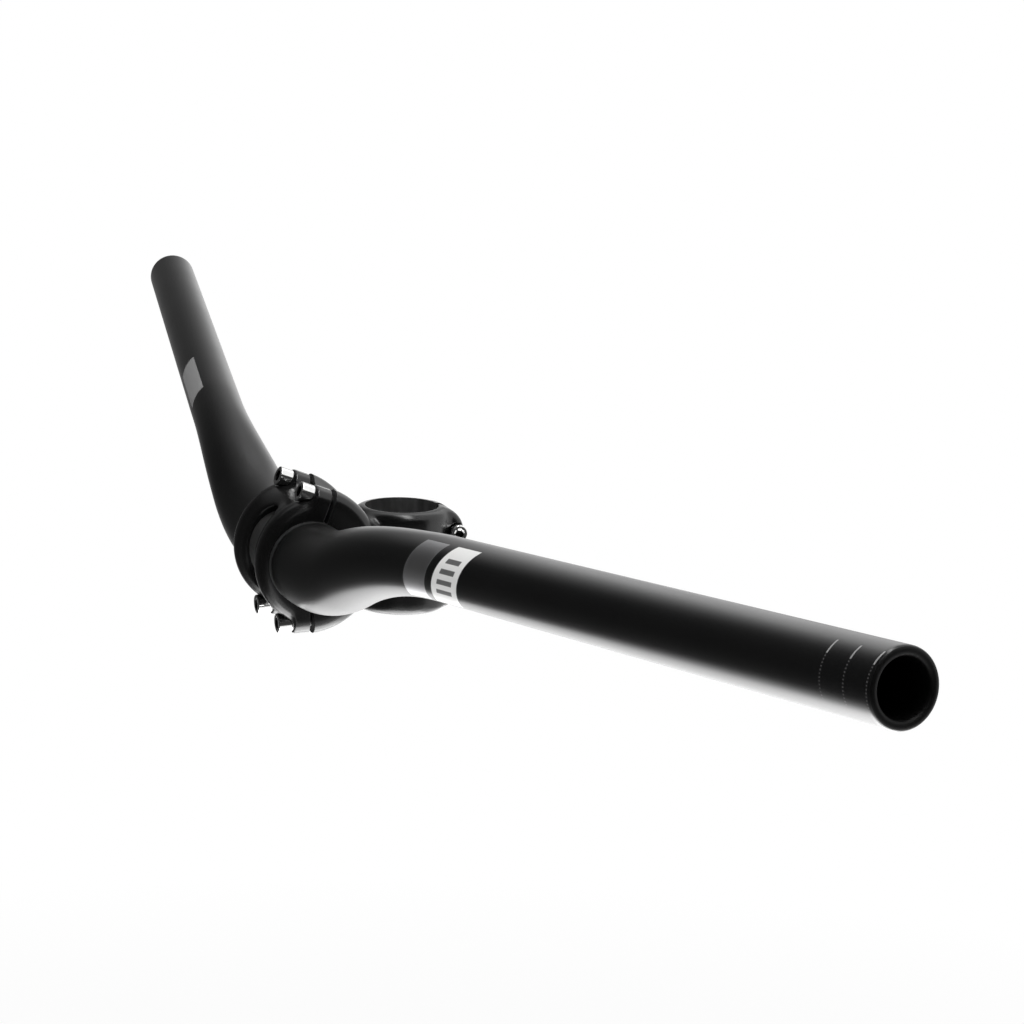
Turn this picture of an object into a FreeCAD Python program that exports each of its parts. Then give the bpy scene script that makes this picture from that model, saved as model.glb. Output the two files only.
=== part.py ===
import FreeCAD, Part
import math
import os

from FreeCAD import Placement, Rotation, Vector

# Riser handlebar clamped in a short stem.
# Frame: origin on the steerer axis at the stem's lower face, +Z up the steerer,
# +X to the rider's left, +Y to the rear. Lengths in millimetres, angles in degrees.

document = FreeCAD.newDocument("riser_handlebar")
sheet = document.addObject("Spreadsheet::Sheet", "sizes")

driving_sizes = [
    # handlebar tube
    ("bar_width", 800.0),
    ("bar_clamp_diameter", 31.8),
    ("bar_grip_diameter", 22.2),
    ("bar_wall", 2.9),
    ("clamp_zone_length", 67.0),
    ("taper_length", 116.0),
    ("inner_bend_distance", 46.7),
    ("outer_bend_distance", 114.7),
    ("bend_rise", 24.7),
    ("bend_setback", 1.4),
    ("backsweep_angle", 8.78),
    ("upsweep_angle", 5.56),
    ("inner_bend_radius", 145.0),
    ("outer_bend_radius", 320.0),
    ("tip_round", 0.9),
    ("tip_chamfer", 0.8),
    # stem body
    ("reach", 42.5),
    ("bar_height", 24.1),
    ("clamp_tilt_angle", 8.8),
    ("clamp_width", 43.0),
    ("bar_fit", 0.05),
    ("cheek_radius", 28.5),
    ("cheek_round", 5.0),
    ("waist_depth", 4.0),
    ("waist_width", 26.0),
    ("steerer_diameter", 28.6),
    ("stack_height", 40.0),
    ("barrel_wall", 4.2),
    ("rim_round", 3.4),
    ("neck_front_setback", 12.0),
    ("neck_front_width", 37.0),
    ("neck_front_height", 27.0),
    ("neck_rear_width", 31.0),
    ("neck_rear_height", 29.0),
    ("neck_round", 9.0),
    # pinch ears at the rear of the stem
    ("ear_reach", 23.2),
    ("ear_width", 19.0),
    ("ear_corner", 10.0),
    ("ear_round", 2.6),
    ("pinch_slot", 3.0),
    ("pinch_setback", 19.4),
    ("pinch_spacing", 20.6),
    ("pinch_seat", 8.6),
    ("pinch_diameter", 4.0),
    ("pinch_length", 16.0),
    ("pinch_head_diameter", 6.8),
    ("pinch_head_height", 4.4),
    ("pinch_hex", 3.0),
    # faceplate
    ("faceplate_wall", 3.6),
    ("faceplate_setback", 5.6),
    ("faceplate_round", 4.6),
    ("saddle_depth", 2.0),
    ("saddle_width", 28.0),
    ("split_angle", 12.0),
    ("split_gap", 1.8),
    ("lug_rise", 4.3),
    ("lug_depth", 6.2),
    ("lug_round", 5.2),
    ("window_width", 15.0),
    ("window_height", 32.0),
    ("window_corner", 7.0),
    ("window_round", 2.0),
    ("bolt_inset", 6.5),
    ("bolt_offset", 23.6),
    ("bolt_diameter", 5.0),
    ("bolt_length", 16.0),
    ("bolt_head_diameter", 7.5),
    ("bolt_head_height", 5.2),
    ("bolt_hex", 4.0),
    # fits shared by every screw
    ("hole_clearance", 0.3),
    ("thread_clearance", 0.05),
    ("spotface_clearance", 0.5),
    ("tip_clearance", 0.5),
    ("head_round", 0.5),
    ("socket_share", 0.55),
]

for row, (alias, value) in enumerate(driving_sizes, start=1):
    sheet.set("A%d" % row, alias)
    sheet.set("B%d" % row, str(value))
    sheet.setAlias("B%d" % row, alias)
document.recompute()

axis_x = Vector(1, 0, 0)
axis_y = Vector(0, 1, 0)
axis_z = Vector(0, 0, 1)
unturned = Rotation()
along_x = Rotation(axis_z, axis_x)


def size(alias):
    return float(sheet.get(alias))


# Shorthand for the document objects, each bound to the sheet.

def bind(item, formulas):
    for name, formula in formulas.items():
        item.setExpression(name, formula)
    return item


def cylinder(name, radius, height, place):
    item = document.addObject("Part::Cylinder", name)
    item.Placement = place
    return bind(item, {"Radius": radius, "Height": height})


def box(name, length, width, height, place):
    item = document.addObject("Part::Box", name)
    item.Placement = place
    return bind(item, {"Length": length, "Width": width, "Height": height})


def fuse(name, pieces):
    item = document.addObject("Part::MultiFuse", name)
    item.Shapes = pieces
    item.Refine = True
    return item


def cut(name, base, tools):
    item = document.addObject("Part::Cut", name)
    item.Base = base
    item.Tool = tools[0] if len(tools) == 1 else fuse(name + "_tools", tools)
    return item


def mirror(name, source, point, normal):
    item = document.addObject("Part::Mirroring", name)
    item.Source = source
    item.Base = point
    item.Normal = normal
    return item


def compound(name, pieces):
    item = document.addObject("Part::Compound", name)
    item.Links = pieces
    return item


def ease_edges(kind, name, base, amount, chosen):
    document.recompute()
    item = document.addObject(kind, name)
    item.Base = base
    numbers = [number for number, edge in enumerate(base.Shape.Edges, start=1) if chosen(edge)]
    item.Edges = [(number, amount, amount) for number in numbers]
    return item


def round_edges(name, base, radius, chosen):
    return ease_edges("Part::Fillet", name, base, radius, chosen)


same = 1e-3


def is_circle(edge, radius):
    return isinstance(edge.Curve, Part.Circle) and abs(edge.Curve.Radius - radius) < same


# Handlebar: a straight centre, two bends a side and a straight grip, all one tube.

class BarPath:
    # centre line of the left half in the clamp's own frame, from the middle outwards
    def __init__(self):
        sweep = math.radians(size("backsweep_angle"))
        lift = math.radians(size("upsweep_angle"))
        self.grip = Vector(math.cos(lift) * math.cos(sweep), math.cos(lift) * math.sin(sweep), math.sin(lift))
        inner = Vector(size("inner_bend_distance"), 0, 0)
        outer = Vector(size("outer_bend_distance"), size("bend_setback"), size("bend_rise"))
        self.tip = outer + self.grip * ((size("bar_width") / 2 - outer.x) / self.grip.x)
        rise = (outer - inner).normalize()
        self.first = Bend(inner, axis_x, rise, size("inner_bend_radius"))
        self.second = Bend(outer, rise, self.grip, size("outer_bend_radius"))
        self.run = (self.second.start - self.first.end).Length
        self.rise = rise
        self.first_end = self.first.start.x + self.first.length
        self.second_start = self.first_end + self.run
        self.end = self.second_start + self.second.length

    def at(self, distance):
        if distance <= self.first_end:
            return self.first.at(distance - self.first.start.x)
        if distance < self.second_start:
            return self.first.end + self.rise * (distance - self.first_end), self.rise
        return self.second.at(distance - self.second_start)


class Bend:
    # an arc that turns the centre line from one direction to another at a corner
    def __init__(self, corner, before, after, radius):
        self.turn = before.getAngle(after)
        tangent = radius * math.tan(self.turn / 2)
        self.radius = radius
        self.before = Vector(before)
        self.start = corner - before * tangent
        self.end = corner + after * tangent
        self.inward = (after - before * before.dot(after)).normalize()
        self.length = radius * self.turn

    def at(self, distance):
        angle = distance / self.radius
        shift = self.before * math.sin(angle) + self.inward * (1 - math.cos(angle))
        heading = self.before * math.cos(angle) + self.inward * math.sin(angle)
        return self.start + shift * self.radius, heading


bar_centre = Vector(0, -size("reach"), size("bar_height"))
bar_place = Placement(bar_centre, unturned)
clamp_place = Placement(bar_centre, Rotation(axis_x, -size("clamp_tilt_angle")))
bend_sections = 15
path = BarPath()


def bar_radius(distance):
    # full size through the clamp, then an even S-shaped taper down to the grip
    clamp = size("bar_clamp_diameter") / 2
    grip = size("bar_grip_diameter") / 2
    share = (distance - size("clamp_zone_length") / 2) / size("taper_length")
    share = min(max(share, 0.0), 1.0)
    return clamp + (grip - clamp) * share * share * (3 - 2 * share)


def bend_skin(name, inset):
    sections = []
    for step in range(bend_sections + 1):
        share = step / bend_sections
        distance = path.first.start.x + (path.end - path.first.start.x) * share
        point, heading = path.at(distance)
        ring = document.addObject("Part::Circle", "%s_section_%02d" % (name, step))
        ring.Radius = bar_radius(distance) - inset
        ring.Placement = bar_place * Placement(point, Rotation(axis_z, heading))
        sections.append(ring)
    skin = document.addObject("Part::Loft", name)
    skin.Sections = sections
    skin.Solid = True
    return skin


def at_tip(edge):
    return isinstance(edge.Curve, Part.Circle) and abs(edge.Curve.Center.x) > path.tip.x - same


def handlebar():
    grip_place = bar_place * Placement(path.second.end, Rotation(axis_z, path.grip))
    centre_place = bar_place * Placement(Vector(-path.first.start.x, 0, 0), along_x)
    grip_length = "%.9f" % (path.tip - path.second.end).Length
    centre_length = "%.9f" % (2 * path.first.start.x)
    skins = []
    for name, inset in (("bar_outside", "0"), ("bar_inside", "sizes.bar_wall")):
        depth = 0.0 if inset == "0" else size("bar_wall")
        bend = bend_skin(name + "_bend", depth)
        grip_radius = "sizes.bar_grip_diameter / 2 - " + inset
        grip = cylinder(name + "_grip", grip_radius, grip_length, grip_place)
        if inset == "0":
            grip = round_edges(name + "_grip_rounded", grip, size("tip_round"), at_tip)
        half = fuse(name + "_left", [bend, grip])
        other = mirror(name + "_right", half, Vector(), axis_x)
        centre_radius = "sizes.bar_clamp_diameter / 2 - " + inset
        centre = cylinder(name + "_centre", centre_radius, centre_length, centre_place)
        skins.append(fuse(name, [half, centre, other]))
    tube = cut("bar_tube", skins[0], [skins[1]])
    hollow = size("bar_grip_diameter") / 2 - size("bar_wall")
    at_mouth = lambda edge: is_circle(edge, hollow) and at_tip(edge)
    return ease_edges("Part::Chamfer", "handlebar", tube, size("tip_chamfer"), at_mouth)


# Stem body: a waisted drum round the bar, a neck and a split barrel round the steerer.

def hollow_ring(name, radius, width, depth):
    # a ring that hollows a drum of this radius to a depth over a width
    tube = "((%s / 2)^2 + %s^2) / (2 * %s)" % (width, depth, depth)
    ring = document.addObject("Part::Torus", name)
    return bind(ring, {"Radius1": "%s - %s + %s" % (radius, depth, tube), "Radius2": tube})


def drum():
    place = clamp_place * Placement(Vector(-size("clamp_width") / 2, 0, 0), along_x)
    blank = cylinder("drum_blank", "sizes.cheek_radius", "sizes.clamp_width", place)
    on_rim = lambda edge: is_circle(edge, size("cheek_radius"))
    soft = round_edges("drum_rounded", blank, size("cheek_round"), on_rim)
    waist = hollow_ring("drum_waist", "sizes.cheek_radius", "sizes.waist_width", "sizes.waist_depth")
    waist.Placement = clamp_place * Placement(Vector(), along_x)
    return cut("drum", soft, [waist])


def neck():
    block = document.addObject("Part::Wedge", "neck_block")
    stem_slope = "(sizes.bar_height - sizes.stack_height / 2) / sizes.reach"
    front_middle = "sizes.bar_height - sizes.neck_front_setback * " + stem_slope
    bind(block, {
        "Ymin": "sizes.neck_front_setback - sizes.reach",
        "Ymax": "0",
        "Xmin": "-sizes.neck_front_width / 2",
        "Xmax": "sizes.neck_front_width / 2",
        "Zmin": front_middle + " - sizes.neck_front_height / 2",
        "Zmax": front_middle + " + sizes.neck_front_height / 2",
        "X2min": "-sizes.neck_rear_width / 2",
        "X2max": "sizes.neck_rear_width / 2",
        "Z2min": "(sizes.stack_height - sizes.neck_rear_height) / 2",
        "Z2max": "(sizes.stack_height + sizes.neck_rear_height) / 2",
    })
    lengthwise = lambda edge: edge.BoundBox.YLength > size("neck_round")
    return round_edges("neck", block, size("neck_round"), lengthwise)


def barrel():
    radius = "sizes.steerer_diameter / 2 + sizes.barrel_wall"
    tube = cylinder("barrel_tube", radius, "sizes.stack_height", Placement())
    outside = size("steerer_diameter") / 2 + size("barrel_wall")
    return round_edges("barrel", tube, size("rim_round"), lambda edge: is_circle(edge, outside))


def ears():
    half = size("ear_width") / 2
    place = Placement(Vector(-half, 0, 0), unturned)
    block = box("ear_block", "sizes.ear_width", "sizes.ear_reach", "sizes.stack_height", place)
    at_rear = lambda edge: edge.BoundBox.XLength > half and edge.BoundBox.YMin > half
    rounded = round_edges("ear_rounded", block, size("ear_corner"), at_rear)
    on_side = lambda edge: abs(edge.BoundBox.XMin) > half - same and edge.BoundBox.YMax > same
    flat = lambda edge: edge.BoundBox.XLength < same
    return round_edges("ears", rounded, size("ear_round"), lambda edge: flat(edge) and on_side(edge))


def bolt_place():
    # at the middle of the upper split, +Z out of the faceplate along the bolt
    from_middle = size("clamp_width") / 2 - size("bolt_inset")
    to_side = Placement(Vector(from_middle, 0, 0), unturned)
    lean = Placement(Vector(), Rotation(axis_x, 90 - size("split_angle")))
    outwards = Placement(Vector(0, size("bolt_offset"), 0), unturned)
    return clamp_place * to_side * lean * outwards


def split_place(half_gap):
    # on the upper split's plane, level with the bar's axis
    lean = Placement(Vector(), Rotation(axis_x, 90 - size("split_angle")))
    return clamp_place * lean * Placement(Vector(0, 0, half_gap), unturned)


def four_places(name, piece):
    # a piece at the upper left and its three mirror images round the clamp
    clamp_up = clamp_place.Rotation.multVec(axis_z)
    right = mirror(name + "_right", piece, Vector(), axis_x)
    upper = compound(name + "_upper", [piece, right])
    lower = mirror(name + "_lower", upper, bar_centre, clamp_up)
    return [upper, lower]


def pinch_place():
    # on the slot's middle plane at the upper pinch screw, +Z out of its head, to the left
    height = (size("stack_height") + size("pinch_spacing")) / 2
    return Placement(Vector(0, size("pinch_setback"), height), along_x)


def two_places(name, piece):
    middle = Vector(0, 0, size("stack_height") / 2)
    return [piece, mirror(name + "_lower", piece, middle, axis_z)]


# Each hole is a cylinder along its screw, from one height to another above the split or slot.

def hole(name, radius, low, high, place):
    start = place * Placement(Vector(0, 0, low), unturned)
    return cylinder(name, radius, "%.9f" % (high - low), start)


bolt_seat = size("split_gap") / 2 + size("lug_depth")
bolt_tip = bolt_seat - size("bolt_length")


def bar_bore(name):
    place = clamp_place * Placement(Vector(-size("clamp_width"), 0, 0), along_x)
    return cylinder(name, "sizes.bar_clamp_diameter / 2 + sizes.bar_fit", "2 * sizes.clamp_width", place)


def half_space(name, half_gap, low, high, start):
    # everything between two heights over the upper split, and its mirror image below the bar
    wide = size("clamp_width")
    deep = 4 * size("cheek_radius")
    corner = Placement(Vector(-wide, start, low), unturned)
    block = box(name + "_upper", "%.9f" % (2 * wide), "%.9f" % (deep - start), "%.9f" % (high - low),
                split_place(half_gap) * corner)
    clamp_up = clamp_place.Rotation.multVec(axis_z)
    return [block, mirror(name + "_lower", block, bar_centre, clamp_up)]


def stem_body():
    blank = fuse("stem_blank", [drum(), neck(), barrel(), ears()])
    below = Placement(Vector(0, 0, -size("stack_height")), unturned)
    steerer = cylinder("steerer_bore", "sizes.steerer_diameter / 2", "3 * sizes.stack_height", below)
    slot_corner = Placement(Vector(-size("pinch_slot") / 2, 0, -size("stack_height")), unturned)
    slot = box("pinch_slot_cut", "sizes.pinch_slot", "2 * sizes.ear_reach", "3 * sizes.stack_height",
               slot_corner)
    beyond = 4 * size("cheek_radius")
    front = half_space("body_front", -size("split_gap") / 2, 0, beyond, -beyond)
    thread = hole("bolt_thread", "sizes.bolt_diameter / 2 + sizes.thread_clearance",
                  bolt_tip - size("tip_clearance"), 0, bolt_place())
    at = pinch_place()
    reach = 2 * size("ear_width")
    pinch_hole = hole("pinch_hole", "(sizes.pinch_diameter + sizes.hole_clearance) / 2", 0, reach, at)
    pinch_thread = hole("pinch_thread", "sizes.pinch_diameter / 2 + sizes.thread_clearance", -reach, 0, at)
    pinch_face = hole("pinch_spotface", "sizes.pinch_head_diameter / 2 + sizes.spotface_clearance",
                      size("pinch_seat"), reach, at)
    tools = [bar_bore("stem_bar_bore"), steerer, slot] + front + four_places("bolt_thread_set", thread)
    for piece in (pinch_hole, pinch_thread, pinch_face):
        tools += two_places(piece.Name + "_set", piece)
    return cut("stem_body", blank, tools)


# Faceplate: an arched plate, thin in front and thicker towards its four bolt lugs, with one window.

def lug():
    # a block with a rounded top, flush with the clamp's side and square to its bolt
    low = Vector(0, 0, -size("lug_depth"))
    down = size("bolt_offset") - size("bar_clamp_diameter") / 2
    corner = low - Vector(size("bolt_inset"), down, 0)
    block = box("lug_block", "2 * sizes.bolt_inset",
                "sizes.bolt_offset + sizes.lug_rise - sizes.bar_clamp_diameter / 2",
                "2 * sizes.lug_depth + sizes.split_gap / 2", bolt_place() * Placement(corner, unturned))
    top = bolt_place().multVec(Vector(0, size("lug_rise"), 0))
    out = bolt_place().Rotation.multVec(axis_y)
    above = lambda edge: all(abs((vertex.Point - top).dot(out)) < same for vertex in edge.Vertexes)
    lengthwise = lambda edge: edge.BoundBox.XLength < same
    return round_edges("lug", block, size("lug_round"), lambda edge: lengthwise(edge) and above(edge))


def faceplate():
    radius = size("bar_clamp_diameter") / 2 + size("faceplate_wall") + size("faceplate_setback")
    outside = "sizes.bar_clamp_diameter / 2 + sizes.faceplate_wall + sizes.faceplate_setback"
    centre = clamp_place * Placement(Vector(0, size("faceplate_setback"), 0), along_x)
    left = Placement(Vector(0, 0, -size("clamp_width") / 2), unturned)
    arch = cylinder("arch_blank", outside, "sizes.clamp_width", centre * left)
    soft = round_edges("arch_rounded", arch, size("faceplate_round"), lambda edge: is_circle(edge, radius))
    saddle = hollow_ring("saddle", "(%s)" % outside, "sizes.saddle_width", "sizes.saddle_depth")
    saddle.Placement = centre
    opened = cut("arch", soft, [saddle, window()])
    eased = round_edges("arch_eased", opened, size("window_round"), at_window)
    blank = fuse("faceplate_blank", [eased] + four_places("lug_set", lug()))
    beyond = 4 * size("cheek_radius")
    behind = half_space("faceplate_rear", size("split_gap") / 2, -beyond, 0, 0)
    passage_corner = Vector(-size("clamp_width"), 0, -size("bar_clamp_diameter") / 2 - size("bar_fit"))
    passage = box("bar_passage", "2 * sizes.clamp_width", "sizes.bar_clamp_diameter",
                  "sizes.bar_clamp_diameter + 2 * sizes.bar_fit",
                  clamp_place * Placement(passage_corner, unturned))
    drilled = hole("bolt_hole", "(sizes.bolt_diameter + sizes.hole_clearance) / 2",
                   -bolt_seat, 2 * bolt_seat, bolt_place())
    face = hole("bolt_spotface", "sizes.bolt_head_diameter / 2 + sizes.spotface_clearance",
                bolt_seat, 4 * bolt_seat, bolt_place())
    tools = [bar_bore("faceplate_bar_bore"), passage] + behind
    for piece in (drilled, face):
        tools += four_places(piece.Name + "_set", piece)
    return cut("faceplate", blank, tools)


def at_window(edge):
    # the window's outline on the outside of the arch, clear of the bar
    clear = lambda point: (point - bar_centre).cross(axis_x).Length > size("bar_clamp_diameter") / 2
    across = size("window_width") / 2 + same
    return all(clear(vertex.Point) and abs(vertex.Point.x) < across for vertex in edge.Vertexes)


def window():
    deep = size("bar_clamp_diameter")
    corner = Vector(-size("window_width") / 2, -deep, -size("window_height") / 2)
    block = box("window_block", "sizes.window_width", "sizes.bar_clamp_diameter", "sizes.window_height",
                clamp_place * Placement(corner, unturned))
    through = lambda edge: edge.BoundBox.YLength > deep / 2
    return round_edges("window", block, size("window_corner"), through)


# Socket-head screws with plain shanks, each name being the start of its sizes' names.

def cap_screw(name, seat, place):
    head_radius = size(name + "_head_diameter") / 2
    top = seat + size(name + "_head_height")
    shank = hole(name + "_shank", "sizes.%s_diameter / 2" % name, seat - size(name + "_length"), seat, place)
    head = hole(name + "_head", "sizes.%s_head_diameter / 2" % name, seat, top, place)
    outer = place.multVec(Vector(0, 0, top))
    at_top = lambda edge: is_circle(edge, head_radius) and edge.Curve.Center.distanceToPoint(outer) < same
    soft = round_edges(name + "_head_rounded", head, size("head_round"), at_top)
    socket = document.addObject("Part::Prism", name + "_socket")
    socket.Polygon = 6
    depth = size(name + "_head_height") * size("socket_share")
    socket.Placement = place * Placement(Vector(0, 0, top - depth), unturned)
    bind(socket, {"Circumradius": "sizes.%s_hex / sqrt(3)" % name, "Height": "sizes.%s_head_height" % name})
    return cut(name, fuse(name + "_blank", [shank, soft]), [socket])


bolt = cap_screw("bolt", bolt_seat, bolt_place())
pinch = cap_screw("pinch", size("pinch_seat"), pinch_place())

pieces = {
    "handlebar": handlebar(),
    "stem_body": stem_body(),
    "faceplate": faceplate(),
    "faceplate_bolts": compound("faceplate_bolts", four_places("bolt_set", bolt)),
    "pinch_bolts": compound("pinch_bolts", two_places("pinch_set", pinch)),
}
document.recompute()

for item in document.Objects:
    if "Invalid" in item.State or "Error" in item.State:
        raise RuntimeError("%s did not build" % item.Name)
for name, item in pieces.items():
    item.Label = name
    if item.Shape.isNull() or not item.Shape.isValid():
        raise RuntimeError("%s has no valid shape" % name)

os.makedirs("parts", exist_ok=True)
for name, item in pieces.items():
    item.Shape.exportStep("parts/%s.step" % name)
    print("%-20s %2d solids, %9.1f mm3" % (name, len(item.Shape.Solids), item.Shape.Volume))
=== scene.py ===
import math

import bmesh
import bpy
from mathutils import Matrix, Vector


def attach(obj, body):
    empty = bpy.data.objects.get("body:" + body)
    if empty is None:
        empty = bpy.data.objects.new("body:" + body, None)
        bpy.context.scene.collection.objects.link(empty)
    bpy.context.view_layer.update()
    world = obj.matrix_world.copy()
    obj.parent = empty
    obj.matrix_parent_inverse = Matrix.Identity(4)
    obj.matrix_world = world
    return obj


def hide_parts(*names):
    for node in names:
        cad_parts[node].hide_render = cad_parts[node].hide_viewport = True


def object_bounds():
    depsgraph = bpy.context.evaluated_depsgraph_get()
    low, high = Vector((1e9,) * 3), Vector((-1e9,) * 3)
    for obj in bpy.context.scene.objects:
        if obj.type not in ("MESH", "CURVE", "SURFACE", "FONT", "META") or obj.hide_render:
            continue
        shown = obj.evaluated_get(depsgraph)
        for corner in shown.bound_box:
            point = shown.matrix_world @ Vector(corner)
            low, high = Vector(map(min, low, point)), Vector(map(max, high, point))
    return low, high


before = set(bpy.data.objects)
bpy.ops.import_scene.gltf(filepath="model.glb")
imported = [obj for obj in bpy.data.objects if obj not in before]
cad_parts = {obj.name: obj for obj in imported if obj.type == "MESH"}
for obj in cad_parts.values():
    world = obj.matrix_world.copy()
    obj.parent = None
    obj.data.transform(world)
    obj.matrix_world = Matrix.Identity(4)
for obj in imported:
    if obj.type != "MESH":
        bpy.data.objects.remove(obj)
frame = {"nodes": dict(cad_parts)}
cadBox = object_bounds()
scene = bpy.context.scene
scene.view_settings.view_transform = "Standard"
print("frame loaded:", ", ".join(frame["nodes"]))


# sockets as plain expressions, for shader trees and geometry trees alike

class Wire:
    def __init__(self, tree, node, output=0):
        self.tree = tree
        self.node = node
        self.socket = node.outputs[output]

    def __getitem__(self, output):
        return Wire(self.tree, self.node, output)

    def math(self, operation, *others):
        return put(self.tree, "ShaderNodeMath", {"operation": operation}, dict(enumerate((self,) + others)))

    def clip(self):
        return self.math("MAXIMUM", 0.0).math("MINIMUM", 1.0)

    def __add__(self, other):
        return self.math("ADD", other)

    def __sub__(self, other):
        return self.math("SUBTRACT", other)

    def __rsub__(self, other):
        return put(self.tree, "ShaderNodeMath", {"operation": "SUBTRACT"}, {0: other, 1: self})

    def __mul__(self, other):
        return self.math("MULTIPLY", other)

    def __truediv__(self, other):
        return self.math("DIVIDE", other)

    def __pow__(self, other):
        return self.math("POWER", other)

    def __abs__(self):
        return self.math("ABSOLUTE")

    def __gt__(self, other):
        return self.math("GREATER_THAN", other)

    __radd__ = __add__
    __rmul__ = __mul__


def socketOf(node, key):
    if isinstance(key, int):
        return node.inputs[key]
    matches = [s for s in node.inputs if s.identifier == key] or [s for s in node.inputs if s.name == key]
    return matches[0]


def put(tree, kind, settings=None, sockets=None):
    node = tree.nodes.new(kind)
    for name, value in (settings or {}).items():
        setattr(node, name, value)
    for key, value in (sockets or {}).items():
        socket = socketOf(node, key)
        if isinstance(value, Wire):
            tree.links.new(value.socket, socket)
        else:
            socket.default_value = value
    return Wire(tree, node) if node.outputs else None


def newTree(name, sizes):
    tree = bpy.data.node_groups.new(name, "GeometryNodeTree")
    tree.interface.new_socket("Geometry", in_out="INPUT", socket_type="NodeSocketGeometry")
    for size in sizes:
        tree.interface.new_socket(size, in_out="INPUT", socket_type="NodeSocketFloat")
    tree.interface.new_socket("Geometry", in_out="OUTPUT", socket_type="NodeSocketGeometry")
    entry = put(tree, "NodeGroupInput")
    wires = {socket.name: entry[index] for index, socket in enumerate(entry.node.outputs) if socket.name}
    return tree, wires


def closeTree(tree, geometry, material):
    whole = put(tree, "GeometryNodeRealizeInstances", None, {"Geometry": geometry})
    dressed = put(tree, "GeometryNodeSetMaterial", None, {"Geometry": whole, "Material": material})
    put(tree, "NodeGroupOutput", None, {0: dressed})


def wear(carrier, tree, sizes):
    modifier = carrier.modifiers.new(tree.name, "NODES")
    modifier.node_group = tree
    for item in tree.interface.items_tree:
        if item.in_out == "INPUT" and item.name in sizes:
            modifier[item.identifier] = float(sizes[item.name])


def settle(carrier, name):
    # the carrier's finished form as a plain mesh
    bpy.context.view_layer.update()
    depsgraph = bpy.context.evaluated_depsgraph_get()
    live = carrier.evaluated_get(depsgraph)
    mesh = bpy.data.meshes.new_from_object(live, preserve_all_data_layers=True, depsgraph=depsgraph)
    mesh.name = name
    piece = bpy.data.objects.new(name, mesh)
    scene.collection.objects.link(piece)
    bpy.data.objects.remove(carrier)
    return piece


def newMaterial(name):
    material = bpy.data.materials.new(name)
    material.use_nodes = True
    tree = material.node_tree
    tree.nodes.clear()
    return material, tree


def surface(tree, sockets):
    shader = put(tree, "ShaderNodeBsdfPrincipled", None, sockets)
    put(tree, "ShaderNodeOutputMaterial", None, {"Surface": shader})


def noise(tree, place, scale, detail):
    return put(tree, "ShaderNodeTexNoise", None, {"Vector": place, "Scale": scale, "Detail": detail})["Fac"]


def mix(tree, share, first, second):
    return put(tree, "ShaderNodeMix", {"data_type": "RGBA"},
               {"Factor_Float": share, "A_Color": first, "B_Color": second})[2]


def step(value, edge, soft):
    return ((value - edge) / soft + 0.5).clip()


def between(value, low, high, soft):
    return step(value, low, soft) * (1 - step(value, high, soft))


# handlebar: one tapered tube swept along a filleted line

bar = {
    "halfWidth": 0.400, "clampDiameter": 0.0318, "gripDiameter": 0.0222, "wall": 0.0029,
    "clampZone": 0.067, "taperLength": 0.116,
    "innerCorner": (0.0467, 0, 0), "outerCorner": (0.1147, 0.0014, 0.0247),
    "innerRadius": 0.145, "outerRadius": 0.320,
    "backsweep": 8.78, "upsweep": 5.56,
    "centre": (0, -0.0425, 0.0241),
    "tipRound": 0.0013, "tipSteps": 4, "tipAngle": 50,
    "sides": 72, "step": 0.0025, "bendSteps": 64,
    "black": (0.0035, 0.0035, 0.0037, 1), "softBlack": (0.0055, 0.0055, 0.0057, 1), "rough": 0.27,
    "bareDark": (0.001, 0.001, 0.001, 1), "barePale": (0.004, 0.004, 0.004, 1),
    "bareRough": 0.4, "bareShine": 0.2,
}

# gritty coat in the clamp, in millimetres along the bar
gritCoat = {
    "halfLength": 24.4, "edge": 0.4, "fray": 5, "rough": 0.3, "height": 4,
    "dark": (0.006, 0.006, 0.006, 1), "pale": (0.035, 0.035, 0.035, 1),
}

# plain fields and trimming marks, in millimetres along the bar and degrees above forward
label = {
    "greyStart": (150.3, 0.1105), "greyEnd": (165.8, 0.1076),    # a place and its slant
    "whiteStart": (170.9, 0.1238), "whiteEnd": (188.0, 0.1003),
    "bottom": -60, "top": 62, "sideEdge": 0.35, "endEdge": 0.8,
    "stripes": ((-31, -22), (-12, -3), (7, 16), (26, 35)), "stripeInset": 3.6,
    "farStart": (150.0, 0.11), "farEnd": (200.0, 0.11), "farBottom": 8, "farTop": 58,
    "halfLength": 407.98, "marks": (1.5, 11.4, 21.6), "markWidth": 0.6, "markEdge": 0.15,
    "markArc": (38, 62), "dotArc": (-26, 36), "arcEdge": 2, "dotPitch": 5, "dotGap": 0.55, "dotShare": 0.22,
    "mark": (0.30, 0.30, 0.30, 1), "far": (0.25, 0.25, 0.25, 1), "grey": (0.46, 0.46, 0.47, 1),
    "white": (0.80, 0.80, 0.79, 1), "stripe": (0.13, 0.13, 0.13, 1),
    "whiteRough": 0.08, "greyRough": 0.1, "greyMetal": 0.95, "height": 1.5,
}


def slanted(distance, angle, start, end):
    low = start[0] + start[1] * angle
    high = end[0] + end[1] * angle
    return between(distance, low, high, label["sideEdge"])


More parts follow.
